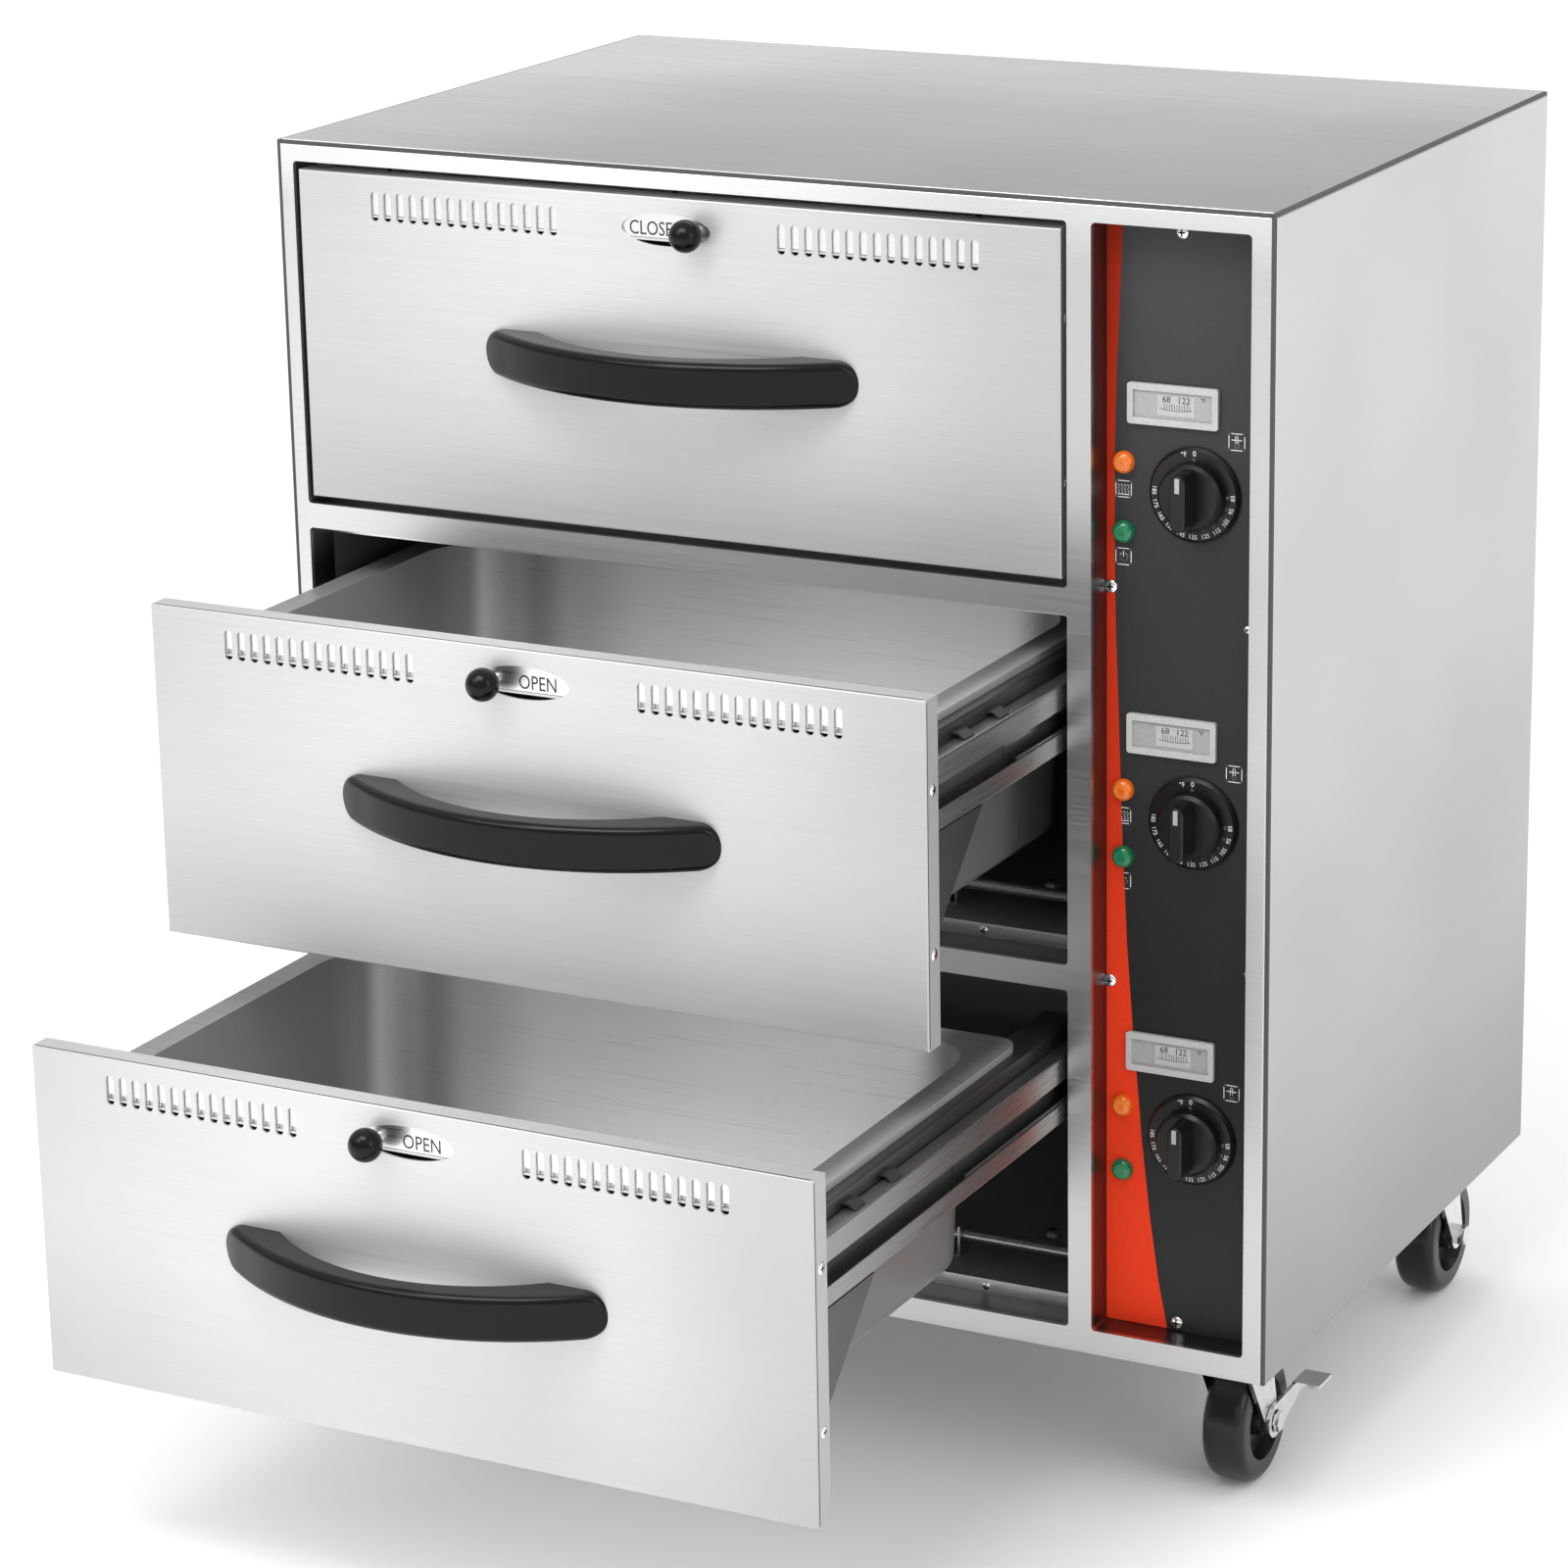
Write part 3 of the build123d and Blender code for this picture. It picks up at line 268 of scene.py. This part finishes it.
for corner in ("front_left", "front_right", "rear_left", "rear_right"):
    paint(chrome, f"caster_fork_{corner}")
    paint(rubber, f"caster_wheel_{corner}")
for corner in ("front_left", "front_right"):
    paint(chrome, f"brake_pedal_{corner}")


# ------------------------------------------------------------------ shapes, in millimetres
def place_shape(name, shape, material, body, spot=None):
    """A finished shape becomes a piece that rides a body; a spot is the matrix that moves it first."""
    mesh = bpy.data.meshes.new(name)
    shape.to_mesh(mesh)
    shape.free()
    if spot is not None:
        mesh.transform(spot)
    mesh.materials.append(material)
    piece = bpy.data.objects.new(name, mesh)
    bpy.context.scene.collection.objects.link(piece)
    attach(piece, body)


def plate(name, outline, y, thickness, material, body):
    """A flat shape that faces the front: outline in (x, z), its face at y."""
    shape = bmesh.new()
    face = shape.faces.new([shape.verts.new((x * MM, y * MM, z * MM)) for x, z in outline])
    made = bmesh.ops.extrude_face_region(shape, geom=[face])
    for vertex in made["geom"]:
        if isinstance(vertex, bmesh.types.BMVert):
            vertex.co.y += thickness * MM
    bmesh.ops.recalc_face_normals(shape, faces=shape.faces)
    place_shape(name, shape, material, body)


def bar(name, low, high, material, body):
    """A box between two corners."""
    shape = bmesh.new()
    bmesh.ops.create_cube(shape, size=1.0)
    for vertex in shape.verts:
        vertex.co = [(low[i] + (high[i] - low[i]) * (vertex.co[i] + 0.5)) * MM for i in range(3)]
    place_shape(name, shape, material, body)


def strokes(name, lines, width, y, material, body, thickness=0.12):
    """Drawn lines that stand on the plane at y: each line is a list of (x, z) points."""
    shape = bmesh.new()
    for line in lines:
        for (x0, z0), (x1, z1) in zip(line, line[1:]):
            across = Vector((-(z1 - z0), x1 - x0)).normalized() * width / 2
            along = Vector((x1 - x0, z1 - z0)).normalized() * width / 2
            quad = [(x0 - along.x + across.x, z0 - along.y + across.y),
                    (x0 - along.x - across.x, z0 - along.y - across.y),
                    (x1 + along.x - across.x, z1 + along.y - across.y),
                    (x1 + along.x + across.x, z1 + along.y + across.y)]
            front_ring = [shape.verts.new((x * MM, (y - thickness) * MM, z * MM)) for x, z in quad]
            back_ring = [shape.verts.new((x * MM, y * MM, z * MM)) for x, z in quad]
            shape.faces.new(front_ring)
            shape.faces.new(back_ring[::-1])
            for i in range(4):
                j = (i + 1) % 4
                shape.faces.new((front_ring[j], front_ring[i], back_ring[i], back_ring[j]))
    bmesh.ops.recalc_face_normals(shape, faces=shape.faces)
    place_shape(name, shape, material, body)


INK_DEPTH = 0.05


def lettering(name, text, size, x, z, y, material, body, turn=0.0, squeeze=1.0):
    """Text that faces the front on the plane at y, centred on (x, z); turn is clockwise, in degrees."""
    curve = bpy.data.curves.new(name, "FONT")
    curve.body = text
    curve.size = size * MM
    curve.extrude = INK_DEPTH * MM
    curve.align_x = "CENTER"
    curve.align_y = "CENTER"
    curve.resolution_u = 3
    curve.materials.append(material)
    piece = bpy.data.objects.new(name, curve)
    bpy.context.scene.collection.objects.link(piece)
    piece.matrix_world = (Matrix.Translation((x * MM, (y - INK_DEPTH) * MM, z * MM))
                          @ Matrix.Rotation(radians(turn), 4, "Y")
                          @ Matrix.Rotation(pi / 2, 4, "X")
                          @ Matrix.Diagonal((squeeze, 1, 1, 1)))
    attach(piece, body)


DOME_RINGS, DOME_SIDES = 5, 20
SLOT_LENGTH, SLOT_WIDTH = 1.0, 0.24         # of a screw's cross, in head radii
SCREW_HEADS = {"edge": (4.2, 0.9), "lip": (3.2, 1.4), "bolt": (6.0, 5.0),
               "panel": (4.6, 2.0), "small": (2.6, 1.2)}    # radius and height


def screw(name, at, towards, kind, body, material=steel_bright):
    """A dome-headed screw whose head faces a direction, with a thin dark cross on its crown."""
    radius, height = SCREW_HEADS[kind]
    dome = bmesh.new()
    rings = []
    for ring in range(DOME_RINGS):
        rise = pi / 2 * ring / DOME_RINGS
        rings.append([dome.verts.new((radius * cos(rise) * cos(2 * pi * k / DOME_SIDES),
                                      radius * cos(rise) * sin(2 * pi * k / DOME_SIDES),
                                      height * sin(rise))) for k in range(DOME_SIDES)])
    tip = dome.verts.new((0, 0, height))
    for lower, upper in zip(rings, rings[1:]):
        for k in range(DOME_SIDES):
            n = (k + 1) % DOME_SIDES
            dome.faces.new((lower[k], lower[n], upper[n], upper[k]))
    for k in range(DOME_SIDES):
        dome.faces.new((rings[-1][k], rings[-1][(k + 1) % DOME_SIDES], tip))
    dome.faces.new(rings[0][::-1])
    for face in dome.faces:
        face.smooth = len(face.verts) < 5
    turn = Vector(towards).to_track_quat("Z", "Y").to_matrix().to_4x4()
    spot = Matrix.Translation([c * MM for c in at]) @ turn @ Matrix.Diagonal((MM, MM, MM, 1))
    place_shape(name, dome, material, body, spot)
    cross = bmesh.new()
    for size_x, size_y in ((SLOT_LENGTH, SLOT_WIDTH), (SLOT_WIDTH, SLOT_LENGTH)):
        for vertex in bmesh.ops.create_cube(cross, size=1.0)["verts"]:
            vertex.co = (vertex.co.x * size_x * radius, vertex.co.y * size_y * radius,
                         height * (0.985 + 0.04 * vertex.co.z))
    place_shape(name + "_recess", cross, line_black, body, spot)


def corners(node):
    """A node's lowest and highest corner."""
    low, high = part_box(node)
    return [c / MM for c in low], [c / MM for c in high]


def arc(x, z, radius, start, end, steps=24):
    """Points of an arc; angles in degrees, clockwise from straight up."""
    angles = [radians(start + (end - start) * i / steps) for i in range(steps + 1)]
    return [(x + radius * sin(a), z + radius * cos(a)) for a in angles]


# ------------------------------------------------------------------ drawers
edge_depth = (1.6, 2.3)        # of the dark line round a front, behind its face
edge_gap = 2.0                 # from the line's ends to the front's corners
edge_proud = 0.12              # how far the line stands out
edge_screws = (0.26, 0.73)     # down a front's side, in shares of its height
shade_strip_inset = 11.8               # of the strip of painted shade in a channel's mouth, from the channel's side
shade_strip_above, shade_strip_below = 14.5, 17.0
knob_radius = 11.08
knob_drop = 21.7               # from a front's upper edge to its knob
knob_depth = 11                # from the foremost point of a damper to its knob's middle
damper_sheet = 1.2             # the words stand on this sheet
word_size, word_squeeze = 13.5, 0.82

for place in PLACES:
    body, vent = f"drawer_{place}", f"vent_{place}"
    low, high = corners(f"drawer_front_{place}")
    line_y = (low[1] + edge_depth[0], low[1] + edge_depth[1])
    bar(f"edge_line_top_{place}", (low[0] + edge_gap, line_y[0], high[2] - 0.1),
        (high[0] - edge_gap, line_y[1], high[2] + edge_proud), line_black, body)
    for side, x, out in (("left", low[0], -1), ("right", high[0], 1)):
        bar(f"edge_line_{side}_{place}", (x - edge_proud, line_y[0], low[2] + edge_gap),
            (x + edge_proud, line_y[1], high[2] - edge_gap), line_black, body)
        for number, share in enumerate(edge_screws):
            at = (x, (low[1] + high[1]) / 2 + 1, high[2] - share * (high[2] - low[2]))
            screw(f"edge_screw_{side}_{number}_{place}", at, (out, 0, 0), "edge", body)
    channel_low, channel_high = corners(f"drawer_channel_{place}")
    # strips of painted shade in each channel's mouth
    for side, x in (("left", channel_low[0] + shade_strip_inset), ("right", channel_high[0] - shade_strip_inset)):
        bar(f"channel_shade_strip_{side}_{place}", (x - 0.1, channel_low[1] + 0.2, channel_low[2] + shade_strip_above),
            (x + 0.1, channel_high[1] - 0.2, channel_high[2] - shade_strip_below), web_painted_shade, body)
    damper_low, damper_high = corners(f"vent_damper_{place}")
    knob_x = (damper_low[0] + damper_high[0]) / 2
    knob_z = high[2] - knob_drop
    for key, text, aside in (("closed", "CLOSED", -30.5), ("open", "OPEN", 32)):
        lettering(f"word_{key}_{place}", text, word_size, knob_x + aside, knob_z - 0.3,
                  damper_high[1] - damper_sheet, dark_ink, vent, squeeze=word_squeeze)
    knob = bmesh.new()
    bmesh.ops.create_uvsphere(knob, u_segments=48, v_segments=32, radius=knob_radius * MM)
    for face in knob.faces:
        face.smooth = True
    place_shape(f"knob_{place}", knob, black_gloss, vent,
                Matrix.Translation((knob_x * MM, (damper_low[1] + knob_depth) * MM, knob_z * MM)))

# ------------------------------------------------------------------ cavities
sheet = 1.5                    # of a liner
lip = 10.0                     # height of its flange above and below the opening
lip_skin = 0.25                # thickness of the bright strip on the flange
margin = 0.1                   # from the strip to the flange's edge

for place in PLACES:
    low, high = corners(f"cavity_liner_{place}")
    middle_x = (low[0] + high[0]) / 2
    for number, x in enumerate((-231, -8, 215)):
        for edge, z in (("top", high[2] - sheet - lip / 2), ("bottom", low[2] + sheet + lip / 2)):
            screw(f"lip_screw_{edge}_{number}_{place}", (middle_x + x, low[1], z), TO_FRONT, "lip", "cabinet")
    screw(f"floor_bolt_{place}", (middle_x + 225, low[1] + 90, low[2] + sheet + lip), UP, "bolt",
          "cabinet", steel_inner)
    for edge, foot, head in (("top", high[2] - sheet - lip, high[2] - sheet - margin),
                             ("bottom", low[2] + sheet + margin, low[2] + sheet + lip)):
        bar(f"lip_{edge}_{place}", (low[0] + sheet - margin, low[1] - lip_skin, foot),
            (high[0] - sheet + margin, low[1], head), steel_plate, "cabinet")

# ------------------------------------------------------------------ control bay: panel
panel_low, panel_high = corners("control_panel")
panel_y = panel_low[1]
bay_left = panel_low[0] + sheet
bay_floor, bay_top = panel_low[2] + sheet, panel_high[2] - sheet
photo_x, photo_z = -368.5, 115.0     # places below are from the cabinet's lower left corner: this takes them
                                     # to the frame
stripe_margin = 0.3
stripe_thickness = 0.15
stripe_edge = [(656, 15), (649.4, 51), (642.8, 98), (636.9, 152), (633.2, 196), (630.1, 230), (625.9, 288),
               (622.2, 368), (619.7, 446.5), (617.6, 505), (616.8, 547), (616.7, 627), (618.3, 682),
               (622.3, 772)]
stripe_foot, stripe_head = bay_floor + stripe_margin, bay_top - stripe_margin
stripe = [(bay_left + stripe_margin, stripe_foot)]
stripe += [(x + photo_x, min(stripe_head, max(stripe_foot, z + photo_z))) for x, z in stripe_edge]
stripe += [(bay_left + stripe_margin, stripe_head)]
plate("red_stripe", stripe, panel_y - stripe_thickness, stripe_thickness, red, "cabinet")

panel_screws = ((663.5, 768.6, "panel"), (614.3, 532.1, "panel"), (613.8, 260.8, "panel"),
                (663.2, 23.2, "panel"), (710, 513, "small"), (712.1, 278.6, "small"))
for number, (x, z, kind) in enumerate(panel_screws):
    screw(f"panel_screw_{number}", (x + photo_x, panel_y - 0.1, z + photo_z), TO_FRONT, kind, "cabinet")


# ------------------------------------------------------------------ control bay: the three sets of controls
def icon(kind, x, z):
    """The lines of a symbol in a rounded square, centred on (x, z)."""
    half, corner_radius = 5.4, 1.2
    inner = half - corner_radius
    outline = []
    for cx, cz, start in ((1, 1, 0), (1, -1, 90), (-1, -1, 180), (-1, 1, 270)):
        outline += arc(x + cx * inner, z + cz * inner, corner_radius, start, start + 90, 4)
    lines = [outline + outline[:1]]
    if kind == "heat":       # four rising waves over a line
        for wave in range(4):
            foot = x - 3.3 + 2.2 * wave
            lines.append([(foot + 0.5 * sin(i * 1.3), z - 2.2 + i * 0.62) for i in range(9)])
        lines.append([(x - 3.8, z - 3.5), (x + 3.8, z - 3.5)])
    elif kind == "power":    # an open ring with a stroke
        lines.append(arc(x, z - 0.3, 2.8, 40, 320))
        lines.append([(x, z + 0.4), (x, z + 3.4)])
    else:                    # a thermometer with a level mark
        lines.append(arc(x, z - 2.3, 1.4, 35, 325, 14))
        lines.append([(x - 0.8, z - 1.2), (x - 0.8, z + 3.4), (x, z + 4),
                      (x + 0.8, z + 3.4), (x + 0.8, z - 1.2)])
        lines.append([(x - 3.2, z + 1.2), (x + 3.2, z + 1.2)])
    return lines


first_row, row_pitch = 157, 221     # heights of the dials' centres over the cabinet's underside
lamp_x = bay_left + 12.5
lens_y = panel_y - 5.96
icon_places = (("heat", 623, -1), ("power", 623, -46), ("thermo", 701.5, 37))
gauge_x = bay_left + 47
field_y = panel_y - 1.2             # a gauge's ground
card_x, card_y = gauge_x + 2, field_y - 0.5
card_gap = 0.15
dial_x = bay_left + 62.5
skirt_y = panel_y - 4
dot_radius, number_radius = 23.6, 27.3
number_start, number_step = 88, 18.5
numbers = ("85", "95", "105", "115", "125", "135", "145", "155", "165", "175", "185")

for row, place in enumerate(PLACES):
    z = photo_z + first_row + row_pitch * row
    for kind, lift, core in (("heat", 17, amber_core), ("power", -29, green_core)):
        rings = [arc(lamp_x, z + lift, radius, 0, 360) for radius in (1.2, 2.6, 4.0)]
        strokes(f"{kind}_rings_{place}", rings, 0.5, lens_y, core, "cabinet")
    for kind, x, lift in icon_places:
        strokes(f"icon_{kind}_{place}", icon(kind, x + photo_x, z + lift), 0.55, panel_y,
                white_ink, "cabinet")

    # thermometer: a ground, and a card with its scale
    gauge_z = z + 57
    bar(f"gauge_field_{place}", (gauge_x - 27.4, field_y - card_gap, gauge_z - 8.9),
        (gauge_x + 27.4, field_y, gauge_z + 8.9), gauge_field, "cabinet")
    bar(f"gauge_card_{place}", (card_x - 13, card_y, gauge_z - 6.8),
        (card_x + 13, field_y - card_gap, gauge_z + 6.8), gauge_card, "cabinet")
    for key, text, size, x, lift, y in (("low", "68", 6.0, card_x - 6.5, 3.8, card_y),
                                        ("high", "122", 6.0, card_x + 5.5, 3.8, card_y),
                                        ("unit", "°F", 4.2, gauge_x + 20.5, 5.0, field_y - card_gap)):
        lettering(f"gauge_{key}_{place}", text, size, x, gauge_z + lift, y, dark_ink, "cabinet")
    ticks = []
    for k in range(11):
        x = card_x - 8 + k * 1.75
        ticks.append([(x, gauge_z - 2.4), (x, gauge_z + (0.9 if k % 3 else 1.4))])
    ticks.append([(card_x - 11 + k * 2.0, gauge_z - 3.2 + 0.0336 * (k - 5.5) ** 2) for k in range(12)])
    strokes(f"gauge_ticks_{place}", ticks, 0.34, card_y, dark_ink, "cabinet", 0.08)

    # dial skirt: dots and numbers round its lower part, and a zero at its top
    dots = []
    for number, label in enumerate(numbers):
        angle = number_start + number * number_step
        dx, dz = sin(radians(angle)), cos(radians(angle))
        dots.append(arc(dial_x + dot_radius * dx, z + dot_radius * dz, 0.45, 0, 360, 10))
        lettering(f"dial_number_{label}_{place}", label, 4.2, dial_x + number_radius * dx,
                  z + number_radius * dz, skirt_y, white_ink, "cabinet", turn=angle - 180)
    dots.append(arc(dial_x, z + dot_radius, 0.6, 0, 360, 10))
    strokes(f"dial_dots_{place}", dots, 0.7, skirt_y, white_ink, "cabinet")
    lettering(f"dial_zero_{place}", "0", 5.0, dial_x + 0.5, z + 27.6, skirt_y, white_ink, "cabinet")
    lettering(f"dial_unit_{place}", "°F", 4.6, dial_x - 6.8, z + 26.6, skirt_y, white_ink, "cabinet",
              turn=-14)
    dial_face = corners(f"dial_{place}")[0][1]
    bar(f"dial_mark_{place}", (dial_x - 1.6, dial_face - 0.1, z + 7.5),
        (dial_x + 1.6, dial_face + 0.6, z + 17.2), gauge_field, f"dial_{place}")

# ------------------------------------------------------------------ floor
floor_mesh = bpy.data.meshes.new("floor")
ground = bmesh.new()
bmesh.ops.create_grid(ground, x_segments=1, y_segments=1, size=40.0)
ground.to_mesh(floor_mesh)
ground.free()
floor = bpy.data.objects.new("floor", floor_mesh)
floor.location.z = -0.0005
bpy.context.scene.collection.objects.link(floor)
floor_pale, _, floor_shader = new_material("floor_pale")
floor_shader.inputs["Base Color"].default_value = (0.97, 0.97, 0.97, 1)
floor_shader.inputs["Roughness"].default_value = 0.95
floor_shader.inputs["Specular IOR Level"].default_value = 0.0
floor_mesh.materials.append(floor_pale)

# ------------------------------------------------------------------ sky
# White to the camera, a little brighter as light, and darker towards the floor in reflections
WHITE = (1, 1, 1, 1)
sky_levels = ((0.12, 0.5), (0.3, 0.62), (0.5, 0.85))     # between 0.55 straight down and 1 straight up
world = bpy.data.worlds.new("studio")
bpy.context.scene.world = world
world.use_nodes = True
sky = world.node_tree
sky.nodes.clear()
out = sky.nodes.new("ShaderNodeOutputWorld")
path = sky.nodes.new("ShaderNodeLightPath")
where = sky.nodes.new("ShaderNodeTexCoord")
split = sky.nodes.new("ShaderNodeSeparateXYZ")
sky.links.new(where.outputs["Generated"], split.inputs["Vector"])
height = sky.nodes.new("ShaderNodeValToRGB")
ramp = height.color_ramp
ramp.elements[0].position, ramp.elements[0].color = 0.0, (0.55, 0.55, 0.55, 1)
ramp.elements[1].position, ramp.elements[1].color = 1.0, WHITE
for position, level in sky_levels:
    ramp.elements.new(position).color = (level, level, level, 1)
sky.links.new(split.outputs["Z"], height.inputs["Fac"])
glossy = sky.nodes.new("ShaderNodeBackground")
sky.links.new(height.outputs["Color"], glossy.inputs["Color"])
soft = sky.nodes.new("ShaderNodeBackground")
soft.inputs["Color"].default_value = WHITE
soft.inputs["Strength"].default_value = 1.08
seen = sky.nodes.new("ShaderNodeBackground")
seen.inputs["Color"].default_value = WHITE
by_glossy = sky.nodes.new("ShaderNodeMixShader")
by_camera = sky.nodes.new("ShaderNodeMixShader")
sky.links.new(path.outputs["Is Glossy Ray"], by_glossy.inputs["Fac"])
sky.links.new(soft.outputs[0], by_glossy.inputs[1])
sky.links.new(glossy.outputs[0], by_glossy.inputs[2])
sky.links.new(path.outputs["Is Camera Ray"], by_camera.inputs["Fac"])
sky.links.new(by_glossy.outputs[0], by_camera.inputs[1])
sky.links.new(seen.outputs[0], by_camera.inputs[2])
sky.links.new(by_camera.outputs[0], out.inputs["Surface"])


# ------------------------------------------------------------------ lights and camera, in metres
def softbox(name, at, aim, size, power):
    light = bpy.data.lights.new(name, "AREA")
    light.shape = "RECTANGLE"
    light.size, light.size_y = size
    light.energy = power
    lamp = bpy.data.objects.new(name, light)
    bpy.context.scene.collection.objects.link(lamp)
    lamp.location = at
    lamp.rotation_euler = (Vector(aim) - Vector(at)).to_track_quat("-Z", "Y").to_euler()


softbox("key", (-1.6, -3.0, 3.0), (0, 0, 0.4), (2.2, 1.4), 26)
softbox("overhead", (-0.1, -1.4, 2.5), (-0.06, -0.3, 0.5), (1.5, 0.9), 26)
softbox("fill", (3.2, -1.2, 1.6), (0.2, 0, 0.4), (1.2, 2.0), 14)

# The camera solved from the photograph: focal length and optical centre in pixels, place and directions
picture = 1600
focal = 5057.86
centre_x, centre_y = 853.32, 758.81
eye = (1.5086346, -2.8786723, 1.4741203)
right = Vector((0.8915574, 0.4526549, -0.0151291))
down = Vector((0.1166718, -0.2618196, -0.9580387))
ahead = Vector((-0.4376221, 0.8523814, -0.2862393))
camera_data = bpy.data.cameras.new("camera")
camera = bpy.data.objects.new("camera", camera_data)
bpy.context.scene.collection.objects.link(camera)
camera_data.sensor_width = 36.0
camera_data.lens = focal / picture * camera_data.sensor_width
camera_data.shift_x = (picture / 2 - centre_x) / picture
camera_data.shift_y = (centre_y - picture / 2) / picture
camera_data.clip_end = 200
camera.matrix_world = Matrix.Translation(eye) @ Matrix((right, -down, -ahead)).transposed().to_4x4()
bpy.context.scene.camera = camera
bpy.context.scene.view_settings.view_transform = "Standard"
